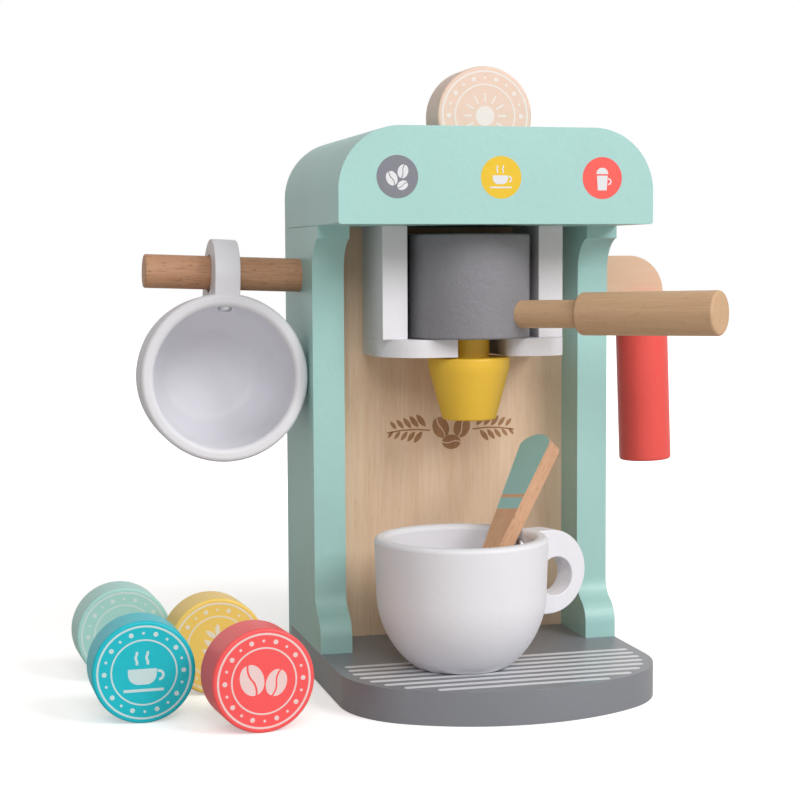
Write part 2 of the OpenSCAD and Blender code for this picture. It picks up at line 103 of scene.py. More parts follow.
def trace(bm, start, *strokes, closed=True):
    """Draws a line on the XY plane. A stroke is a point (x, y) to go straight to, or (x, y, turn):
    a centre to go round, and how many degrees, to the left if positive."""
    earlier = set(bm.verts)
    first = tip = bm.verts.new((*start, 0))
    for stroke in strokes:
        if len(stroke) == 2:
            corner = bm.verts.new((*stroke, 0))
            bm.edges.new((tip, corner))
            tip = corner
        else:
            x, y, turn = stroke
            spun = bmesh.ops.spin(
                bm, geom=[tip], cent=(x, y, 0), axis=(0, 0, 1), dvec=(0, 0, 0), angle=radians(turn),
                steps=max(2, ceil(abs(turn) / 4)), use_merge=False, use_duplicate=False)
            tip = next(v for v in spun["geom_last"] if isinstance(v, bmesh.types.BMVert))
    if closed:
        bm.edges.new((tip, first))
    drawn = [v for v in bm.verts if v not in earlier]
    bmesh.ops.remove_doubles(bm, verts=drawn, dist=fine_hair)


def thicken(bm, thickness):
    """Makes flat faces on the XY plane into a closed plate that reaches up to a height."""
    grown = bmesh.ops.extrude_face_region(bm, geom=bm.faces[:])
    top = [v for v in grown["geom"] if isinstance(v, bmesh.types.BMVert)]
    bmesh.ops.translate(bm, vec=(0, 0, thickness), verts=top)
    bmesh.ops.recalc_face_normals(bm, faces=bm.faces)


def ease(bm, width, sharper_than=50, segments=3, where=lambda edge: True):
    """Rounds off the edges that are sharper than an angle."""
    edges = [e for e in bm.edges if e.calc_face_angle(0) > radians(sharper_than) and where(e)]
    bmesh.ops.bevel(
        bm, geom=edges, offset=width, offset_type="OFFSET", affect="EDGES", segments=segments,
        profile=0.5, material=-1, clamp_overlap=True)


def board(start, *strokes, thickness, edge, holes=(), top=inf):
    """A board sawn to an outline, with its edges eased, but not those that lie above a top. A hole
    is (x, y, radius)."""
    bm = bmesh.new()
    trace(bm, start, *strokes)
    for x, y, radius in holes:
        bmesh.ops.create_circle(bm, segments=32, radius=radius, matrix=Matrix.Translation((x, y, 0)))
    bmesh.ops.triangle_fill(bm, use_beauty=True, edges=bm.edges)
    thicken(bm, thickness)
    near_hole = [(Vector((x, y)), radius * 1.2) for x, y, radius in holes]
    ease(bm, edge, where=lambda e: min(v.co.y for v in e.verts) < top
         and not any((e.verts[0].co.xy - c).length < r for c, r in near_hole))
    return bm


def finished(bm, name, body, slot, *materials, stands_for=(), place=Matrix()):
    """Puts a piece in its place, smooth between its sharp edges, and lets it ride on its body."""
    bmesh.ops.transform(bm, matrix=place, verts=bm.verts)
    mesh = bpy.data.meshes.new(name)
    bm.to_mesh(mesh)
    bm.free()
    mesh.shade_smooth()
    mesh.set_sharp_from_angle(angle=radians(40))
    for material in materials:
        mesh.materials.append(material)
    piece = bpy.data.objects.new(name, mesh)
    scene.collection.objects.link(piece)
    piece.modifiers.new("weighted_normals", "WEIGHTED_NORMAL").keep_sharp = True
    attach(piece, body)
    if stands_for:
        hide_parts(*stands_for)
    return piece


def rgb(red, green, blue):
    """A colour from its 0 to 255 values on a screen."""
    linear = [c / 12.92 if c <= 0.04045 else ((c + 0.055) / 1.055) ** 2.4
              for c in (red / 255, green / 255, blue / 255)]
    return (*linear, 1)


def new_material(name):
    """A material, its shader's inputs, and a function that adds a node to it."""
    material = bpy.data.materials.new(name)
    material.use_nodes = True
    tree = material.node_tree

    def feed(socket, value):
        if isinstance(value, bpy.types.NodeSocket):
            tree.links.new(value, socket)
        else:
            socket.default_value = value

    def add(kind, output, inputs, **settings):
        node = tree.nodes.new("ShaderNode" + kind)
        for setting, value in settings.items():
            setattr(node, setting, value)
        for socket, value in inputs.items():
            feed(node.inputs[socket], value)
        return node.outputs[output]

    def finish(inputs):
        for socket, value in inputs.items():
            feed(tree.nodes["Principled BSDF"].inputs[socket], value)
        return material

    return add, finish


def satin_paint(name, colour, peel=0.12, gloss=(0.35, 0.47), peel_scale=1100, dents=0.1):
    """Sprayed satin paint: its tone drifts a little, a fine orange peel breaks up the gloss, and the
    board below shows through as shallow dents."""
    add, finish = new_material(name)
    at = add("TexCoord", "Object", {})
    drift = add("TexNoise", "Fac", {"Vector": at, "Scale": 16, "Detail": 3})
    tone = add("MapRange", "Result", {"Value": drift, "From Min": 0.3, "From Max": 0.7,
                                      "To Min": 0.965, "To Max": 1.03})
    speck = add("TexNoise", "Fac", {"Vector": at, "Scale": peel_scale, "Detail": 3, "Roughness": 0.6})
    rough = add("MapRange", "Result", {"Value": speck, "From Min": 0.3, "From Max": 0.7,
                                       "To Min": gloss[0], "To Max": gloss[1]})
    hollow = add("TexNoise", "Fac", {"Vector": at, "Scale": 240, "Detail": 2})
    dented = add("Bump", "Normal", {"Height": hollow, "Strength": dents, "Distance": 0.0015})
    return finish({
        "Base Color": add("HueSaturation", "Color", {"Value": tone, "Color": colour}),
        "Roughness": rough,
        "Normal": add("Bump", "Normal", {"Height": speck, "Strength": peel, "Distance": 0.0006,
                                         "Normal": dented}),
    })


grey_paint = satin_paint("grey_paint", rgb(131, 134, 141), peel=0.15, gloss=(0.30, 0.42))
base = board(
    (half_w, corner_y),
    (half_w, rear_y),
    (-half_w, rear_y),
    (-half_w, corner_y),
    (-corner_x, corner_y, corner_turn),
    (0, bow_y, 180 - 2 * corner_turn),
    (corner_x, corner_y, corner_turn),
    thickness=board_t, edge=0.0016, holes=base_screws)
finished(base, "base_board", "machine", "grey_paint", grey_paint, stands_for=["base"])

# The stripes follow the board's outline at an even distance, like the slots of a drip tray.
stripe_w = 0.0038
stripe_step = 0.0084
stripe_count = 8
stripe_first_y = -0.0786
stripe_margin = 0.0055
ink_t = 0.00006
stripes = bmesh.new()
for i in range(stripe_count):
    y = stripe_first_y + i * stripe_step
    if y > corner_y:
        reach = half_w
    else:
        on_corner = corner_x + sqrt(max(0, corner_r ** 2 - (corner_y - y) ** 2))
        meets_bow = bow_y - y > bow_r * sin(radians(corner_turn))
        on_bow = sqrt(bow_r ** 2 - (bow_y - y) ** 2) if meets_bow else half_w
        reach = min(on_corner, on_bow)
    half_l = reach - stripe_margin - stripe_w / 2
    trace(stripes, (half_l, y - stripe_w / 2), (half_l, y, 180),
          (-half_l, y + stripe_w / 2), (-half_l, y, 180))
bmesh.ops.triangle_fill(stripes, use_beauty=True, edges=stripes.edges)
thicken(stripes, ink_t)
stripe_paint = satin_paint("stripe_paint", rgb(226, 227, 231), peel=0.1)
finished(stripes, "base_stripes", "machine", "white_paint", stripe_paint,
         place=Matrix.Translation((0, 0, board_t)))


# --- Side panels ----------------------------------------------------------
# Two 17 mm boards under mint paint, glued and dowelled between the base and the head.
# Their front edge is sawn to a wavy foot below and to a small capital under the head.
low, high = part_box("side_panel_right")
panel_top = high.z
panel_front = 0.026
foot_top = 0.048
foot_low = 0.025
step = panel_front - low.y
foot_turn = degrees(2 * atan(step / (foot_top - foot_low)))
foot_r = step / (2 * (1 - cos(radians(foot_turn))))
capital_low = panel_top - 0.0235
capital_edge = panel_top - 0.0065
capital_rise = capital_edge - capital_low
cove_r = (step ** 2 + capital_rise ** 2) / (2 * step)
cove_turn = degrees(asin(capital_rise / cove_r))
thin_edge = 0.0009
mint_paint = satin_paint("mint_paint", rgb(167, 210, 206))

# An outline drawn as (y, z) is stood up with its board across the machine.
stand_sideways = Matrix(((0, 0, 1, 0), (1, 0, 0, 0), (0, 1, 0, 0), (0, 0, 0, 1)))
for side, left_x in (("left", -half_w), ("right", half_w - panel_t)):
    panel = board(
        (rear_y, board_t),
        (rear_y, panel_top),
        (low.y, panel_top),
        (low.y, capital_edge),
        (panel_front - cove_r, capital_low, -cove_turn),
        (panel_front, foot_top),
        (panel_front - foot_r, foot_top, -foot_turn),
        (low.y + foot_r, foot_low, foot_turn),
        (low.y, board_t),
        thickness=panel_t, edge=thin_edge, top=panel_top - hair)
    finished(panel, "side_board_" + side, "machine", "mint_paint", mint_paint,
             stands_for=["side_panel_" + side],
             place=Matrix.Translation((left_x, 0, 0)) @ stand_sideways)


# --- Back board -----------------------------------------------------------
# A thinner board that closes the machine from the base to the top of the head.
# It has the head's two round corners and is held by six countersunk screws.
low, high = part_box("back_board")
back_t = high.y - low.y
top_z = high.z
arch_r = 0.032
back_screw_z = (0.050, 0.130, 0.215)
back_screws = [(side * panel_mid, z, screw_hole_r) for side in (-1, 1) for z in back_screw_z]

# An outline drawn as (x, z) is stood up with its board towards the front.
stand_up = Matrix.Rotation(radians(90), 4, "X")


def arch(bottom, inset=0, way=1):
    """A front outline that is square below and round at its two upper corners, drawn from the right
    to the left, or with a way of -1 from the left to the right."""
    side = half_w - inset
    bend = arch_r - inset
    shoulder = top_z - inset - bend
    return [
        (way * side, bottom),
        (way * side, shoulder),
        (way * (side - bend), shoulder, way * 90),
        (way * (bend - side), top_z - inset),
        (way * (bend - side), shoulder, way * 90),
        (way * -side, bottom),
    ]


back = board(*arch(0), thickness=back_t, edge=thin_edge, holes=back_screws)
finished(back, "back_panel", "machine", "mint_paint", mint_paint,
         stands_for=["back_board"], place=Matrix.Translation((0, high.y, 0)) @ stand_up)


# --- Plywood panel --------------------------------------------------------
# Birch plywood behind the mug bay, sanded and left bare, with its grain upright.
# A small mark of coffee beans between two leafy sprigs is branded into it in brown.
ply_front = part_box("inner_panel")[0].y


def sanded_wood(name, pale, dark, fleck, turned_by=Matrix(), figure=1.0, flecks=0.5, fleck_scale=1300):
    """Bare sanded wood with its grain along the Z axis of a piece's own frame."""
    add, finish = new_material(name)
    at = add("Mapping", "Vector", {
        "Vector": add("TexCoord", "Object", {}),
        "Location": turned_by.translation,
        "Rotation": turned_by.to_euler(),
    }, vector_type="TEXTURE")
    drawn_out = add("Mapping", "Vector", {"Vector": at, "Scale": (1, 1, 0.045)})
    year_rings = add("TexNoise", "Fac", {"Vector": drawn_out, "Scale": 85, "Detail": 3,
                                         "Roughness": 0.55, "Distortion": 0.5})
    fibres = add("TexNoise", "Fac", {"Vector": drawn_out, "Scale": 900, "Detail": 3, "Roughness": 0.65})
    both = add("Math", "Value", {0: year_rings, 1: fibres}, operation="ADD")
    grain = add("MapRange", "Result", {"Value": both, "From Min": 0.72, "From Max": 1.28,
                                       "To Min": 0.5 - figure / 2, "To Max": 0.5 + figure / 2})
    timber = add("MixRGB", "Color", {"Fac": grain, "Color1": pale, "Color2": dark})
    short = add("Mapping", "Vector", {"Vector": at, "Scale": (1, 1, 0.14)})
    pores = add("TexNoise", "Fac", {"Vector": short, "Scale": fleck_scale, "Detail": 2, "Roughness": 0.5})
    dashes = add("MapRange", "Result", {"Value": pores, "From Min": 0.60, "From Max": 0.70,
                                        "To Min": 0, "To Max": flecks})
    return finish({
        "Base Color": add("MixRGB", "Color", {"Fac": dashes, "Color1": timber, "Color2": fleck}),
        "Roughness": add("MapRange", "Result", {"Value": fibres, "To Min": 0.48, "To Max": 0.68}),
        "Normal": add("Bump", "Normal", {"Height": fibres, "Strength": 0.12, "Distance": 0.0005}),
    })


birch = sanded_wood("birch_plywood", rgb(239, 211, 184), rgb(226, 192, 160), rgb(204, 166, 131),
                    figure=0.9, flecks=0.2, fleck_scale=900)
inner_panel = frame["nodes"]["inner_panel"]
for slot in inner_panel.material_slots:
    slot.material = birch


def bean(bm, x, y, length, turn):
    """A coffee bean: two halves with a curved crease between them."""
    crease = 0.09
    sway = 0.75
    bend = degrees(2 * atan(0.5 / sway))
    spot = Matrix.Translation((x, y, 0)) @ Matrix.Rotation(radians(turn), 4, "Z")
    shape = spot @ Matrix.Diagonal((0.36 * length, 0.5 * length, 1, 1))
    for half in (0, 180):
        earlier = set(bm.verts)
        trace(bm, (crease, -1), (crease, 0, 180),
              (crease + sway, 0.5, bend), (crease - sway, -0.5, -bend))
        drawn = [v for v in bm.verts if v not in earlier]
        bmesh.ops.transform(bm, matrix=shape @ Matrix.Rotation(radians(half), 4, "Z"), verts=drawn)


def leaf(bm, x, y, length, turn):
    """A pointed leaf that starts at a point: two arcs of 80 degrees."""
    sweep = 80
    radius = length / (2 * sin(radians(sweep / 2)))
    deep = radius * cos(radians(sweep / 2))
    earlier = set(bm.verts)
    trace(bm, (0, 0), (length / 2, deep, sweep), (length / 2, -deep, sweep))
    drawn = [v for v in bm.verts if v not in earlier]
    spot = Matrix.Translation((x, y, 0)) @ Matrix.Rotation(radians(turn), 4, "Z")
    bmesh.ops.transform(bm, matrix=spot, verts=drawn)


def pen(bm, x, y, heading, width, *strokes):
    """A painted line. A stroke is (length,) ahead, or (radius, turn) round to the left if turn is
    positive and to the right if it is negative."""
    at = Vector((x, y, 0))
    way = radians(heading)
    left = Vector((-sin(way), cos(way), 0))
    edge = bm.edges.new((bm.verts.new(at + left * width / 2), bm.verts.new(at - left * width / 2)))
    for stroke in strokes:
        if len(stroke) == 1:
            grown = bmesh.ops.extrude_edge_only(bm, edges=[edge])["geom"]
            ahead = Vector((cos(way), sin(way), 0)) * stroke[0]
            tip = [g for g in grown if isinstance(g, bmesh.types.BMVert)]
            bmesh.ops.translate(bm, vec=ahead, verts=tip)
            at = at + ahead
        else:
            radius, turn = stroke
            left = Vector((-sin(way), cos(way), 0))
            centre = at + left * (radius if turn > 0 else -radius)
            grown = bmesh.ops.spin(
                bm, geom=[edge], cent=centre, axis=(0, 0, 1), dvec=(0, 0, 0), angle=radians(turn),
                steps=max(2, ceil(abs(turn) / 8)), use_merge=False, use_duplicate=False)["geom_last"]
            at = centre + Matrix.Rotation(radians(turn), 3, "Z") @ (at - centre)
            way += radians(turn)
        edge = next(g for g in grown if isinstance(g, bmesh.types.BMEdge))


def fill(bm):
    """Fills every closed line that has no face yet."""
    bmesh.ops.triangle_fill(bm, use_beauty=True, edges=[e for e in bm.edges if e.is_wire])


burn = bmesh.new()
mark_x = 0.0008
mark_z = 0.1308
mark_scale = 1.17
leaf_pairs = 5
leaf_step = 0.0036
leaf_turn = 38
fine_line = 0.0007
bean(burn, -0.0052, 0.0004, 0.0100, 22)
bean(burn, 0.0052, 0.0004, 0.0100, -22)
bean(burn, 0, -0.0066, 0.0088, 88)
for side in (-1, 1):
    for i in range(leaf_pairs):
        leaf(burn, side * (0.0125 + leaf_step * i), 0.0009 - 0.0002 * i,
             0.0076 - 0.0007 * i, 90 - side * leaf_turn)
        leaf(burn, side * (0.0142 + leaf_step * i), -0.0012 + 0.0001 * i,
             0.0068 - 0.0007 * i, 270 + side * leaf_turn)
fill(burn)
for side in (-1, 1):
    pen(burn, side * 0.0105, -0.0008, 90 - side * 82, fine_line, (0.060, -side * 20))
bmesh.ops.scale(burn, vec=(mark_scale, mark_scale, 1), verts=burn.verts)
thicken(burn, ink_t)
burnt_wood = sanded_wood("burnt_wood", rgb(178, 132, 92), rgb(152, 108, 70), rgb(130, 90, 58), figure=1.1)
finished(burn, "burnt_mark", "machine", "birch_plywood", burnt_wood,
         place=Matrix.Translation((mark_x, ply_front, mark_z)) @ stand_up)


# --- Head -----------------------------------------------------------------
# An arched shell of mint boards: a solid front, and behind it a hood with a slot for a pod.
# Its floor rests on the side panels, and a well under the slot carries the pod.
hood_low, hood_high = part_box("head_hood")
fascia_low, fascia_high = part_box("front_fascia")
well_low, well_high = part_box("pod_well")
well_wall = 0.004
shell_t = fascia_high.y - fascia_low.y
head_z = hood_low.z
slot_x = well_high.x - well_wall
slot_front = well_low.y + well_wall
slot_rear = well_high.y - well_wall
corner_edge = 0.0012
front_edge = 0.0022
rim_edge = 0.0006

front = bmesh.new()
trace(front, *arch(head_z))
fill(front)
thicken(front, shell_t)
ease(front, corner_edge, where=lambda e: abs(e.verts[0].co.z - e.verts[1].co.z) > shell_t / 2)
ease(front, front_edge, segments=4, where=lambda e: min(v.co.z for v in e.verts) > shell_t - hair)
finished(front, "head_front", "machine", "mint_paint", mint_paint,
         stands_for=["front_fascia"], place=Matrix.Translation((0, fascia_high.y, 0)) @ stand_up)

hood_l = hood_high.y - hood_low.y
slot_z = (hood_high.y - slot_rear, hood_high.y - slot_front)
hood = bmesh.new()
trace(hood, *arch(head_z), *arch(head_z, shell_t, way=-1))
fill(hood)
thicken(hood, hood_l)
for point, across in (
        ((-slot_x, 0, 0), (1, 0, 0)), ((slot_x, 0, 0), (1, 0, 0)),
        ((0, 0, slot_z[0]), (0, 0, 1)), ((0, 0, slot_z[1]), (0, 0, 1))):
    bmesh.ops.bisect_plane(hood, geom=hood.verts[:] + hood.edges[:] + hood.faces[:],
                           dist=fine_hair, plane_co=point, plane_no=across)
window = [f for f in hood.faces if abs(f.calc_center_median().x) < slot_x
          and slot_z[0] < f.calc_center_median().z < slot_z[1]]
bmesh.ops.delete(hood, geom=window, context="FACES")
bmesh.ops.bridge_loops(hood, edges=[e for e in hood.edges if e.is_boundary])
bmesh.ops.recalc_face_normals(hood, faces=hood.faces)


def on_hood_rim(edge):
    """True for the upper rim of the slot and for the two lower outer edges."""
    a, b = (v.co for v in edge.verts)
    at_end = abs(a.z - b.z) < hair and not hair < a.z < hood_l - hair
    slot_rim = min(a.y, b.y) > top_z - hair
    lower_edge = max(a.y, b.y) < head_z + hair and min(abs(a.x), abs(b.x)) > half_w - hair
    return not at_end and (slot_rim or lower_edge)


ease(hood, rim_edge, where=on_hood_rim)
finished(hood, "head_top", "machine", "mint_paint", mint_paint,
         stands_for=["head_hood"], place=Matrix.Translation((0, hood_high.y, 0)) @ stand_up)

for name, slot, material in (
        ("head_floor", "mint_paint", mint_paint),
        ("pod_well", "white_paint", stripe_paint)):
    inside = frame["nodes"][name]
    for filled in inside.material_slots:
        filled.material = material

# Three round prints on the front show what the toy pretends to brew: white pictures on coloured
# discs.
disc_r = 0.0106
disc_z = 0.2647
on_front = Matrix.Translation((0, fascia_low.y, 0)) @ stand_up
above_disc = Matrix.Translation((0, 0, ink_t))


def dot(bm, x, y, radius, segments=24):
    """A filled round spot."""
    bmesh.ops.create_circle(bm, cap_ends=True, segments=segments, radius=radius,
                            matrix=Matrix.Translation((x, y, 0)))


def three_beans(bm):
    """Three coffee beans."""
    bean(bm, -0.0029, -0.0008, 0.0072, 24)
    bean(bm, 0.0028, 0.0026, 0.0068, -16)
    bean(bm, 0.0026, -0.0042, 0.0056, -62)
    fill(bm)


def steaming_cup(bm):
    """A cup on a saucer, with a ring handle and two wisps of steam."""
    cup_left = -0.0045
    cup_right = 0.0035
    cup_top = 0.0010
    bend = 0.0030
    bend_y = cup_top - 0.0014
    trace(bm, (cup_right, cup_top), (cup_left, cup_top), (cup_left, bend_y),
          (cup_left + bend, bend_y, 90), (cup_right - bend, bend_y - bend),
          (cup_right - bend, bend_y, 90))
    fill(bm)
    pen(bm, cup_right + 0.0002, cup_top - 0.0008, 20, fine_line, (0.0012, -200))
    pen(bm, -0.0058, -0.0050, 0, 0.0008, (0.0112,))
    for x in (-0.0021, 0.0009):
        pen(bm, x, 0.0022, 60, fine_line, (0.0013, 60), (0.0013, -60), (0.0013, 50))


def tall_glass(bm):
    """A tall glass with a dome of milk foam on it and a small handle."""
    trace(bm, (0.0029, 0.0012), (-0.0029, 0.0012), (-0.0024, -0.0062), (0.0024, -0.0062))
    trace(bm, (0.0032, 0.0020), (0, 0.0020, 180))
    fill(bm)
    pen(bm, 0.0030, -0.0004, 10, fine_line, (0.0014, -190))


for name, x, colour, slot, picture in (
        ("bean_disc", -0.0527, rgb(124, 126, 136), "grey_paint", three_beans),
        ("cup_disc", 0.0009, rgb(233, 193, 38), "yellow_paint", steaming_cup),
        ("glass_disc", 0.0547, rgb(243, 92, 84), "coral_paint", tall_glass)):
    disc = bmesh.new()
    dot(disc, 0, 0, disc_r, 72)
    thicken(disc, ink_t)
    spot = on_front @ Matrix.Translation((x, disc_z, 0))
    finished(disc, name, "machine", slot, satin_paint(name + "_ink", colour, peel=0.05), place=spot)
    drawing = bmesh.new()
    picture(drawing)
    thicken(drawing, ink_t)
    finished(drawing, name + "_picture", "machine", "white_paint", stripe_paint, place=spot @ above_disc)


# --- Group: two walls on a forked plate -----------------------------------
# White boards under the head. The plate has a slot that lets the neck of the portafilter in from
# the front. The walls stand on it, either side of the drum, and screws hold them from below.
low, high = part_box("fork_plate")
wall_low, wall_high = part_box("group_wall_right")
fork_t = high.z - low.z
group_out = high.x
fork_left_r = 0.025
fork_right_r = 0.011
fork_slot_left = -0.0114
fork_slot_right = 0.0170
fork_slot_mid = (fork_slot_left + fork_slot_right) / 2
fork_slot_end = 0.022
tine_r = 0.009
fork_edge = 0.0006
wall_edge = 0.0004
group_mid = (wall_low.x + wall_high.x) / 2
fork_screw_y = (0.020, 0.042)
fork_screws = [(side * group_mid, y, screw_hole_r) for side in (-1, 1) for y in fork_screw_y]
white_paint = satin_paint("white_paint", rgb(235, 234, 239), peel=0.16, gloss=(0.42, 0.55))
fork = board(
    (group_out, high.y),
    (-group_out, high.y),
    (-group_out, low.y + fork_left_r),
    (-group_out + fork_left_r, low.y + fork_left_r, 90),
    (fork_slot_left, low.y),
    (fork_slot_left, fork_slot_end),
    (fork_slot_mid, fork_slot_end, -180),
    (fork_slot_right, low.y + tine_r),
    (fork_slot_right + tine_r, low.y + tine_r, 90),
    (group_out - fork_right_r, low.y),
    (group_out - fork_right_r, low.y + fork_right_r, 90),
    thickness=fork_t, edge=fork_edge, holes=fork_screws)
finished(fork, "forked_plate", "machine", "white_paint", white_paint,
         stands_for=["fork_plate"], place=Matrix.Translation((0, 0, low.z)))

for side in ("left", "right"):
    low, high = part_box("group_wall_" + side)
    wall = board((low.x, low.y), (high.x, low.y), (high.x, high.y), (low.x, high.y),
                 thickness=high.z - low.z, edge=wall_edge)
    finished(wall, "guide_wall_" + side, "machine", "white_paint", white_paint,
             stands_for=["group_wall_" + side], place=Matrix.Translation((0, 0, low.z)))


# --- Spout ----------------------------------------------------------------
# A turned cone under yellow paint that comes upright in a round shoulder below its flat top.
# Its neck goes up through the slot of the forked plate, and a spigot above it carries the drum.
low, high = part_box("spout")
plate_low, plate_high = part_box("fork_plate")
filter_at = Vector(((low.x + high.x) / 2, (low.y + high.y) / 2, 0))
cone_low_r = 0.0142
cone_top_r = high.x
cone_gap = 0.0007
cone_top = plate_low.z - cone_gap
neck_top = plate_high.z - 0.0001
cone_lean = radians(15.1)
cone_edge = 0.0013
shoulder_r = 0.020
neck_r = 0.01095
spigot_r = 0.007


def turned(start, *strokes, steps=96):
    """A piece turned on a lathe. Its half section is (radius, height), from the axis to the axis."""
    bm = bmesh.new()
    trace(bm, start, *strokes, closed=False)
    bmesh.ops.rotate(bm, verts=bm.verts, cent=(0, 0, 0), matrix=Matrix.Rotation(radians(90), 3, "X"))
    bmesh.ops.spin(bm, geom=bm.verts[:] + bm.edges[:], cent=(0, 0, 0), axis=(0, 0, 1), dvec=(0, 0, 0),
                   angle=radians(360), steps=steps, use_merge=True, use_duplicate=False)
    bmesh.ops.remove_doubles(bm, verts=bm.verts, dist=hair)
    bmesh.ops.recalc_face_normals(bm, faces=bm.faces)
    return bm


shoulder_x = cone_top_r - shoulder_r
side_top_x = shoulder_x + shoulder_r * cos(cone_lean)
side_top_z = low.z + (side_top_x - cone_low_r) / tan(cone_lean)
shoulder_z = side_top_z + shoulder_r * sin(cone_lean)
low_edge_x = cone_low_r - cone_edge * (1 - sin(cone_lean)) / cos(cone_lean)
yellow_paint = satin_paint("yellow_paint", rgb(242, 196, 58), peel=0.16)
spout = turned(
    (0, low.z),
    (low_edge_x, low.z),
    (low_edge_x, low.z + cone_edge, 90 - degrees(cone_lean)),
    (side_top_x, side_top_z),
    (shoulder_x, shoulder_z, degrees(cone_lean)),
    (cone_top_r, cone_top - cone_edge),
    (cone_top_r - cone_edge, cone_top - cone_edge, 90),
    (neck_r, cone_top),
    (neck_r, neck_top),
    (spigot_r, neck_top),
    (spigot_r, high.z),
    (0, high.z))
finished(spout, "yellow_spout", "spout_carrier", "yellow_paint", yellow_paint,
         stands_for=["spout"], place=Matrix.Translation(filter_at))


# --- Drum of the portafilter ----------------------------------------------
# A heavy turned drum under grey paint, with a round basket in its top that takes a pod.
# A screw and a washer in the basket hold it on the spout's spigot, so that it can turn.
low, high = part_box("portafilter_drum")
drum_r = 0.0322
basket_r = 0.026
basket_deep = 0.0245
drum_edge = 0.0012
drum_paint = satin_paint("drum_paint", rgb(130, 129, 135), peel=0.5, gloss=(0.42, 0.56), peel_scale=800,
                         dents=0.25)
drum = turned(
    (0, low.z),
    (drum_r - drum_edge, low.z),
    (drum_r - drum_edge, low.z + drum_edge, 90),
    (drum_r, high.z - drum_edge),
    (drum_r - drum_edge, high.z - drum_edge, 90),
    (basket_r + drum_edge, high.z),
    (basket_r + drum_edge, high.z - drum_edge, 90),
    (basket_r, high.z - basket_deep),
    (0, high.z - basket_deep),
    steps=128)
finished(drum, "drum", "portafilter", "grey_paint", drum_paint,
         stands_for=["portafilter_drum"], place=Matrix.Translation(filter_at))


# --- Handle ---------------------------------------------------------------
# A beech dowel glued into the side of the drum, with a thicker turned grip on its free end.
# Both are sanded and clear varnished. The grip's end shows the end grain.
handle_turn = radians(-47.5)
handle_rise = radians(1)
handle_z = 0.1947
neck_in = 0.020
handle_neck_r = 0.0073
grip_from = 0.067
grip_l = 0.0759
grip_r = 0.011
grip_swell = 0.00025
neck_end = grip_from + 0.017
along_handle = (Matrix.Translation((filter_at.x, filter_at.y, handle_z))
                @ Matrix.Rotation(handle_turn, 4, "Z")
                @ Matrix.Rotation(radians(90) - handle_rise, 4, "Y"))
beech_colours = (rgb(212, 176, 140), rgb(194, 155, 118), rgb(158, 116, 82))
handle_beech = sanded_wood("handle_beech", *beech_colours, turned_by=along_handle, figure=0.6, flecks=0.3)
neck = turned((0, neck_in), (handle_neck_r, neck_in), (handle_neck_r, neck_end), (0, neck_end))
finished(neck, "handle_dowel", "portafilter", "beech", handle_beech,
         stands_for=["handle_neck"], place=along_handle)

grip_round = 0.0015
grip_end_r = grip_r + grip_swell
grip = turned(
    (0, grip_from),
    (grip_r - grip_round, grip_from),
    (grip_r - grip_round, grip_from + grip_round, 90),
    (grip_end_r, grip_from + grip_l - grip_round),
    (grip_end_r - grip_round, grip_from + grip_l - grip_round, 90),
    (0, grip_from + grip_l))
finished(grip, "turned_grip", "portafilter", "beech", handle_beech,
         stands_for=["handle_grip"], place=along_handle)


# --- Mug peg --------------------------------------------------------------
# A beech dowel glued into the left panel, rising two degrees so that the mug stays on it.
# It is darker than the other woods, with the short dark flecks of red beech.
peg_r = 0.009
peg_y = 0.0605
peg_z = 0.2157
peg_rise = radians(2)
peg_in = 0.012
peg_out = 0.0843
peg_edge = 0.0012
peg_axis = (Matrix.Translation((-half_w, peg_y, peg_z))
            @ Matrix.Rotation(radians(-90) + peg_rise, 4, "Y"))
peg_beech = sanded_wood("peg_beech", rgb(206, 160, 126), rgb(180, 131, 98), rgb(126, 84, 58),
                        turned_by=peg_axis, figure=0.8, flecks=0.65, fleck_scale=1500)
peg = turned(
    (0, -peg_in),
    (peg_r, -peg_in),
    (peg_r, peg_out - peg_edge),
    (peg_r - peg_edge, peg_out - peg_edge, 90),
    (0, peg_out))
finished(peg, "beech_peg", "machine", "beech", peg_beech, stands_for=["mug_peg"], place=peg_axis)


# --- Mugs -----------------------------------------------------------------
# Two like mugs, turned from wood and painted white inside and out, with a thick round rim.
# Each has a ring handle cut from a board, held by a screw through the wall from inside.
# One hangs by its ring on the peg, and one stands on the tray.
mug_r = 0.0445
mug_h = 0.0664
mug_wall = 0.007
mug_floor = 0.0094
mug_lean = radians(2)
mug_bowl_r = 0.0475
mug_bowl_z = 0.0365
mug_foot_r = 0.004
mug_inner_foot_r = 0.008
rim_out = 0.0025
rim_in = 0.0030
ring_t = 0.0135
ring_r = 0.0221
ring_x = 0.0513
ring_z = 0.0438
ring_root_x = 0.0395
ring_edge = 0.0006
ring_hole_r = 0.01015
ring_hole_x = 0.0548
ring_hole_z = 0.0413
mug_paint = satin_paint("mug_paint", rgb(234, 234, 240), peel=0.12, gloss=(0.45, 0.58), peel_scale=800)


def belly(radius, bowl_r, foot_r, foot_z):
    """The foot's edge and the round bowl of a mug: their two centres, how steep the bowl is where they
    meet, and the radius where the bowl goes over into the leaning wall."""
    wall_r = radius - (mug_h - mug_bowl_z) * tan(mug_lean)
    bowl_x = wall_r - bowl_r * cos(mug_lean)
    bowl_z = mug_bowl_z + bowl_r * sin(mug_lean)
    rise = bowl_z - foot_z - foot_r
    run = sqrt((bowl_r - foot_r) ** 2 - rise ** 2)
    return (bowl_x + run, foot_z + foot_r), (bowl_x, bowl_z), degrees(atan(rise / run)), wall_r


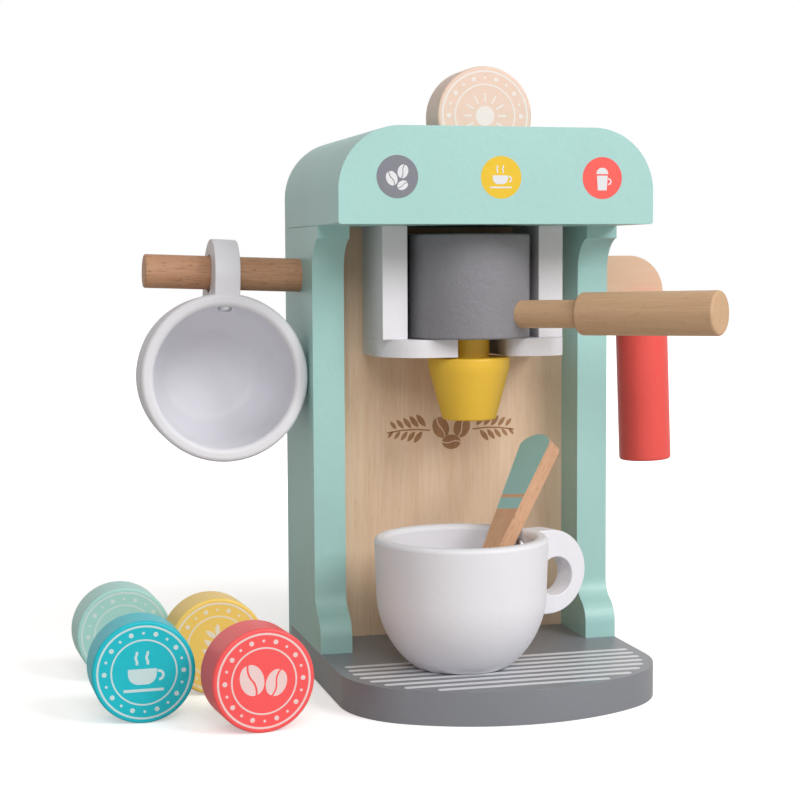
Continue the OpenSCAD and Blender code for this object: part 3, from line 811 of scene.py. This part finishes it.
def mug_bowl():
    """The bowl of a mug, which stands on the XY plane."""
    inner_r = mug_r - mug_wall
    lean = degrees(mug_lean)
    foot, side, steep, wall_r = belly(mug_r, mug_bowl_r, mug_foot_r, 0)
    inner_foot, inner_side, inner_steep, inner_wall_r = belly(
        inner_r, mug_bowl_r - mug_wall, mug_inner_foot_r, mug_floor)
    rim_x = mug_r - rim_out * (1 + sin(mug_lean)) / cos(mug_lean)
    inner_rim_x = inner_r + rim_in * (1 - sin(mug_lean)) / cos(mug_lean)
    return turned(
        (0, 0),
        (foot[0], 0),
        (*foot, 90 - steep),
        (*side, steep - lean),
        (rim_x + rim_out * cos(mug_lean), mug_h - rim_out * (1 + sin(mug_lean))),
        (rim_x, mug_h - rim_out, 90 + lean),
        (inner_rim_x, mug_h),
        (inner_rim_x, mug_h - rim_in, 90 - lean),
        (inner_wall_r, mug_bowl_z),
        (*inner_side, lean - inner_steep),
        (*inner_foot, inner_steep - 90),
        (0, mug_floor),
        steps=128)


def mug_ring():
    """The ring handle of a mug, whose root goes a little way into the wall of the bowl."""
    bm = bmesh.new()
    trace(bm, (ring_root_x, ring_z - ring_r), (ring_x, ring_z - ring_r), (ring_x, ring_z, 180),
          (ring_root_x, ring_z + ring_r))
    bmesh.ops.create_circle(bm, segments=64, radius=ring_hole_r,
                            matrix=Matrix.Translation((ring_hole_x, ring_hole_z, 0)))
    fill(bm)
    thicken(bm, ring_t)
    ease(bm, ring_edge, where=lambda e: max(v.co.x for v in e.verts) > ring_root_x + hair)
    bmesh.ops.transform(bm, matrix=Matrix.Translation((0, ring_t / 2, 0)) @ stand_up, verts=bm.verts)
    return bm


hole_at = Vector(next(j["pos_m"] for j in frame["joints"] if j["name"] == "mug_swing"))
hang_roll = radians(2.5)
hang_tilt = radians(-1.5)
hanging = (Matrix.Translation(hole_at)
           @ Matrix.Rotation(hang_roll, 4, "Y") @ Matrix.Rotation(hang_tilt, 4, "X")
           @ Matrix.Rotation(radians(-90), 4, "Y") @ Matrix.Rotation(radians(90), 4, "X")
           @ Matrix.Translation((-ring_hole_x, 0, -ring_hole_z)))
tray_turn = radians(16)
low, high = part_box("cup_bowl")
standing = (Matrix.Translation(((low.x + high.x) / 2, (low.y + high.y) / 2, low.z))
            @ Matrix.Rotation(tray_turn, 4, "Z"))
for body, node, place in (("hanging_mug", "mug", hanging), ("tray_mug", "cup", standing)):
    finished(mug_bowl(), body + "_bowl", body, "white_paint", mug_paint,
             stands_for=[node + "_bowl"], place=place)
    finished(mug_ring(), body + "_ring", body, "white_paint", mug_paint,
             stands_for=[node + "_handle"], place=place)


# --- Stirrer --------------------------------------------------------------
# A flat beech stick that tapers from a round end to a narrow tail and leans in the mug on the tray.
# The upper part of its front face is painted a soft teal, with a narrow band of it below.
stirrer_l = 0.1253
stirrer_t = 0.0089
stirrer_top_w = 0.021
stirrer_low_w = 0.0066
stirrer_end_r = 0.013
stirrer_shoulder_r = 0.004
stirrer_tail = 0.022
stirrer_edge = 0.0007
paint_from = 0.0874
band = (0.0784, 0.0853)
stirrer_at = (-0.0236, -0.0401, 0.0299)
stirrer_way = radians(36.6)
stirrer_lean = radians(38.5)
stirrer_twist = radians(-9.7)
stirrer_place = (Matrix.Translation(stirrer_at) @ Matrix.Rotation(stirrer_way, 4, "Z")
                 @ Matrix.Rotation(stirrer_lean, 4, "Y") @ Matrix.Rotation(stirrer_twist, 4, "Z"))
stirrer_beech = sanded_wood("stirrer_beech", rgb(224, 178, 143), rgb(202, 154, 120), rgb(162, 114, 82),
                            turned_by=stirrer_place, figure=0.8, flecks=0.5, fleck_scale=1300)
stirrer_paint = satin_paint("stirrer_paint", rgb(158, 202, 200), peel=0.1)
end_z = stirrer_l - stirrer_end_r
shoulder_reach = stirrer_end_r - stirrer_shoulder_r
shoulder_y = stirrer_top_w / 2 - stirrer_shoulder_r
shoulder_turn = acos(shoulder_y / shoulder_reach)
shoulder_z = end_z + shoulder_reach * sin(shoulder_turn)
stick = bmesh.new()
trace(stick, (-stirrer_low_w / 2, 0), (stirrer_low_w / 2, 0), (stirrer_low_w / 2, stirrer_tail),
      (stirrer_top_w / 2, shoulder_z), (shoulder_y, shoulder_z, degrees(shoulder_turn)),
      (0, end_z, 180 - 2 * degrees(shoulder_turn)), (-shoulder_y, shoulder_z, degrees(shoulder_turn)),
      (-stirrer_low_w / 2, stirrer_tail))
fill(stick)
thicken(stick, stirrer_t)
bmesh.ops.transform(stick, matrix=Matrix.Translation((-stirrer_t / 2, 0, 0)) @ stand_sideways,
                    verts=stick.verts)
for z in (*band, paint_from):
    bmesh.ops.bisect_plane(stick, geom=stick.verts[:] + stick.edges[:] + stick.faces[:],
                           dist=fine_hair, plane_co=(0, 0, z), plane_no=(0, 0, 1))
ease(stick, stirrer_edge)
for face in stick.faces:
    middle = face.calc_center_median()
    painted = middle.z > paint_from or band[0] < middle.z < band[1]
    face.material_index = 1 if painted and face.normal.x < -0.8 else 0
finished(stick, "beech_stirrer", "stirrer", "beech", stirrer_beech, stirrer_paint,
         stands_for=["stirrer"], place=stirrer_place)


# --- Steam wand and its arm -----------------------------------------------
# A round-ended beech arm is screwed to the right panel. The coral wand is a turned bar, slotted at
# its top to straddle the arm, and it swings on a steel pin.
low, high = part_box("wand_arm")
arm_r = (high.z - low.z) / 2
arm_end_x = high.x - arm_r
arm_z = (low.z + high.z) / 2
arm_t = high.y - low.y
arm_edge = 0.0013
wand_edge = 0.0006
arm_frame = Matrix.Translation((0, high.y, 0))
arm_beech = sanded_wood("arm_beech", rgb(230, 194, 166), rgb(220, 181, 152), rgb(200, 158, 128),
                        turned_by=Matrix.Rotation(radians(90), 4, "Y"), figure=0.6, flecks=0.2)
arm = board((half_w, low.z), (arm_end_x, low.z), (arm_end_x, arm_z, 180), (half_w, high.z),
            thickness=arm_t, edge=arm_edge)
finished(arm, "round_arm", "machine", "light_beech", arm_beech,
         stands_for=["wand_arm"], place=arm_frame @ stand_up)

coral_paint = satin_paint("coral_paint", rgb(240, 84, 77), peel=0.16)
wand = bmesh.new()
wand.from_mesh(frame["nodes"]["steam_wand"].data)
bmesh.ops.remove_doubles(wand, verts=wand.verts, dist=hair)
bmesh.ops.dissolve_limit(wand, angle_limit=radians(0.5), verts=wand.verts, edges=wand.edges)
ease(wand, wand_edge, sharper_than=60, segments=2)
finished(wand, "slotted_wand", "steam_wand", "coral_paint", coral_paint, stands_for=["steam_wand"])


# --- Coffee pods ----------------------------------------------------------
# Five wooden discs on edge under satin paint of five colours, one of them in the slot of the head.
# Each has a pale print on its front: two rings, a row of dots and a small picture.
pod_r = 0.0252
pod_t = 0.0233
pod_edge = 0.0013
rings = ((0.0221, 0.0231), (0.0155, 0.0163))
dots_at = 0.0193
dot_count = 20
dot_sizes = (0.0012, 0.0007)
big_cup_scale = 1.75


def ring(bm, inner, outer, segments=96):
    """A flat ring."""
    for radius in (inner, outer):
        bmesh.ops.create_circle(bm, segments=segments, radius=radius)
    bmesh.ops.bridge_loops(bm, edges=[e for e in bm.edges if e.is_wire])


def bean_pair(bm):
    """Two coffee beans."""
    bean(bm, -0.0060, 0.0008, 0.0150, 16)
    bean(bm, 0.0060, -0.0012, 0.0130, -20)
    fill(bm)


def big_cup(bm):
    """A steaming cup, larger than the one on the head."""
    earlier = set(bm.verts)
    steaming_cup(bm)
    bmesh.ops.scale(bm, vec=(big_cup_scale, big_cup_scale, 1),
                    verts=[v for v in bm.verts if v not in earlier])


def sprig(bm):
    """A sprig of seven leaves."""
    for i in range(3):
        leaf(bm, 0.0006, -0.0065 + 0.0055 * i, 0.0095 - 0.0012 * i, leaf_turn)
        leaf(bm, -0.0006, -0.0065 + 0.0055 * i, 0.0095 - 0.0012 * i, 180 - leaf_turn)
    leaf(bm, 0, 0.0050, 0.0072, 90)
    fill(bm)
    pen(bm, 0, -0.0115, 90, fine_line, (0.0170,))


def drop(bm):
    """A milk drop with a small shine left open in it."""
    radius = 0.0072
    tip = 0.0125
    lean = degrees(asin(radius / tip))
    touch = (radius * cos(radians(lean)), radius * sin(radians(lean)))
    trace(bm, (0, tip), (-touch[0], touch[1]), (0, 0, 180 + 2 * lean))
    fill(bm)
    bmesh.ops.translate(bm, vec=(0, -0.0025, 0), verts=bm.verts)


def sun(bm):
    """A disc with rays."""
    dot(bm, 0, 0, 0.0050, 48)
    for i in range(12):
        way = radians(30 * i)
        pen(bm, 0.0070 * cos(way), 0.0070 * sin(way), 30 * i, 0.0009, (0.0045,))


for pod, yaw, colour, ink, slot, picture in (
        ("pod_top", 0, rgb(232, 203, 186), rgb(236, 226, 220), "beige_paint", sun),
        ("pod_teal", 1.6, rgb(0, 196, 212), rgb(206, 234, 237), "teal_paint", big_cup),
        ("pod_coral", 6.3, rgb(255, 90, 92), rgb(244, 214, 212), "coral_paint", bean_pair),
        ("pod_yellow", 4, rgb(255, 216, 110), rgb(246, 236, 212), "yellow_paint", sprig),
        ("pod_mint", 3.2, rgb(178, 228, 222), rgb(216, 238, 235), "pale_mint_paint", drop)):
    low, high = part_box(pod)
    place = (Matrix.Translation((low + high) / 2) @ Matrix.Rotation(radians(yaw), 4, "Z")
             @ Matrix.Translation((0, pod_t / 2, 0)) @ stand_up)
    disc = turned(
        (0, 0),
        (pod_r - pod_edge, 0),
        (pod_r - pod_edge, pod_edge, 90),
        (pod_r, pod_t - pod_edge),
        (pod_r - pod_edge, pod_t - pod_edge, 90),
        (0, pod_t))
    finished(disc, pod + "_disc", pod, slot, satin_paint(pod + "_paint", colour, peel=0.14),
             stands_for=[pod], place=place)
    drawing = bmesh.new()
    picture(drawing)
    for inner, outer in rings:
        ring(drawing, inner, outer)
    for i in range(dot_count):
        way = radians(360 / dot_count * i)
        dot(drawing, dots_at * cos(way), dots_at * sin(way), dot_sizes[i % 2], 16)
    thicken(drawing, ink_t)
    finished(drawing, pod + "_print", pod, "white_paint", satin_paint(pod + "_ink", ink, peel=0.1),
             place=place @ Matrix.Translation((0, 0, pod_t)))


# --- Fasteners ------------------------------------------------------------
# Zinc plated steel: countersunk screws, the wand's pin, the screw and washer in the drum's basket
# and the screw inside each mug. Beech dowels join the side panels to the head.
add, finish = new_material("zinc_plate")
at = add("TexCoord", "Object", {})
brushed = add("TexNoise", "Fac", {"Vector": at, "Scale": 2400, "Detail": 2})
zinc = finish({
    "Base Color": rgb(198, 200, 204),
    "Metallic": 1.0,
    "Roughness": add("MapRange", "Result", {"Value": brushed, "To Min": 0.22, "To Max": 0.42}),
    "Normal": add("Bump", "Normal", {"Height": brushed, "Strength": 0.1, "Distance": 0.0002}),
})
for name in ("base_screws", "back_screws", "fork_screws", "arm_screws", "drum_screw",
             "mug_screw", "cup_screw", "wand_pin"):
    fastener = frame["nodes"][name]
    for slot in fastener.material_slots:
        slot.material = zinc
dowel_beech = sanded_wood("dowel_beech", *beech_colours)
for slot in frame["nodes"]["panel_dowels"].material_slots:
    slot.material = dowel_beech


# --- Studio ---------------------------------------------------------------
# A white floor and a white room. A large soft lamp stands to the right, in front and above, a
# weaker one near the camera lights what faces it, and the room's own light fills the shadows.
floor_size = 8
floor_bm = bmesh.new()
bmesh.ops.create_grid(floor_bm, x_segments=1, y_segments=1, size=floor_size / 2)
floor_mesh = bpy.data.meshes.new("floor")
floor_bm.to_mesh(floor_mesh)
floor_bm.free()
floor = bpy.data.objects.new("floor", floor_mesh)
scene.collection.objects.link(floor)

# The floor glows for the camera, weakly under the toy and fully further out, where it runs into
# the white room. Glossy paint mirrors a part of that glow, and nothing else is lit by it.
mirror_glow = 0.4
add, finish = new_material("floor_white")
seen = add("LightPath", "Is Camera Ray", {})
mirrored = add("LightPath", "Is Glossy Ray", {})
dimmed = add("Math", "Value", {0: mirrored, 1: mirror_glow}, operation="MULTIPLY")
strength = add("Math", "Value", {0: seen, 1: dimmed}, operation="MAXIMUM")
from_toy = add("VectorMath", "Value", {0: add("TexCoord", "Object", {})}, operation="LENGTH")
whiteness = add("MapRange", "Result", {"Value": from_toy, "From Min": 0.12, "From Max": 0.70,
                                       "To Min": 0.38, "To Max": 1.0})
floor_glow = add("Math", "Value", {0: strength, 1: whiteness}, operation="MULTIPLY")
floor_mesh.materials.append(finish({
    "Base Color": add("MixRGB", "Color", {"Fac": seen, "Color1": rgb(208, 205, 202),
                                          "Color2": rgb(252, 252, 252)}),
    "Roughness": 0.7,
    "Emission Color": (1, 1, 1, 1),
    "Emission Strength": floor_glow,
}))

world = bpy.data.worlds.new("studio")
scene.world = world
world.use_nodes = True
tree = world.node_tree
path = tree.nodes.new("ShaderNodeLightPath")
glossy_too = tree.nodes.new("ShaderNodeMath")
glossy_too.operation = "MAXIMUM"
tree.links.new(path.outputs["Is Camera Ray"], glossy_too.inputs[0])
tree.links.new(path.outputs["Is Glossy Ray"], glossy_too.inputs[1])
room = tree.nodes.new("ShaderNodeMixRGB")
room.inputs["Color1"].default_value = (0.27, 0.25, 0.228, 1)
room.inputs["Color2"].default_value = (1, 1, 1, 1)
tree.links.new(glossy_too.outputs["Value"], room.inputs["Fac"])
tree.links.new(room.outputs["Color"], tree.nodes["Background"].inputs["Color"])


def softbox(name, at, aim, size, power):
    """A square lamp that points at a spot."""
    lamp = bpy.data.lights.new(name, "AREA")
    lamp.size = size
    lamp.energy = power
    holder = bpy.data.objects.new(name, lamp)
    holder.matrix_world = (Matrix.Translation(at)
                           @ (Vector(at) - Vector(aim)).to_track_quat("Z", "Y").to_matrix().to_4x4())
    scene.collection.objects.link(holder)


toy_middle = (0, 0, 0.12)
softbox("key", at=(0.85, -1.10, 1.02), aim=toy_middle, size=0.7, power=14.2)
softbox("front", at=(-0.25, -1.30, 0.96), aim=toy_middle, size=0.7, power=7.5)
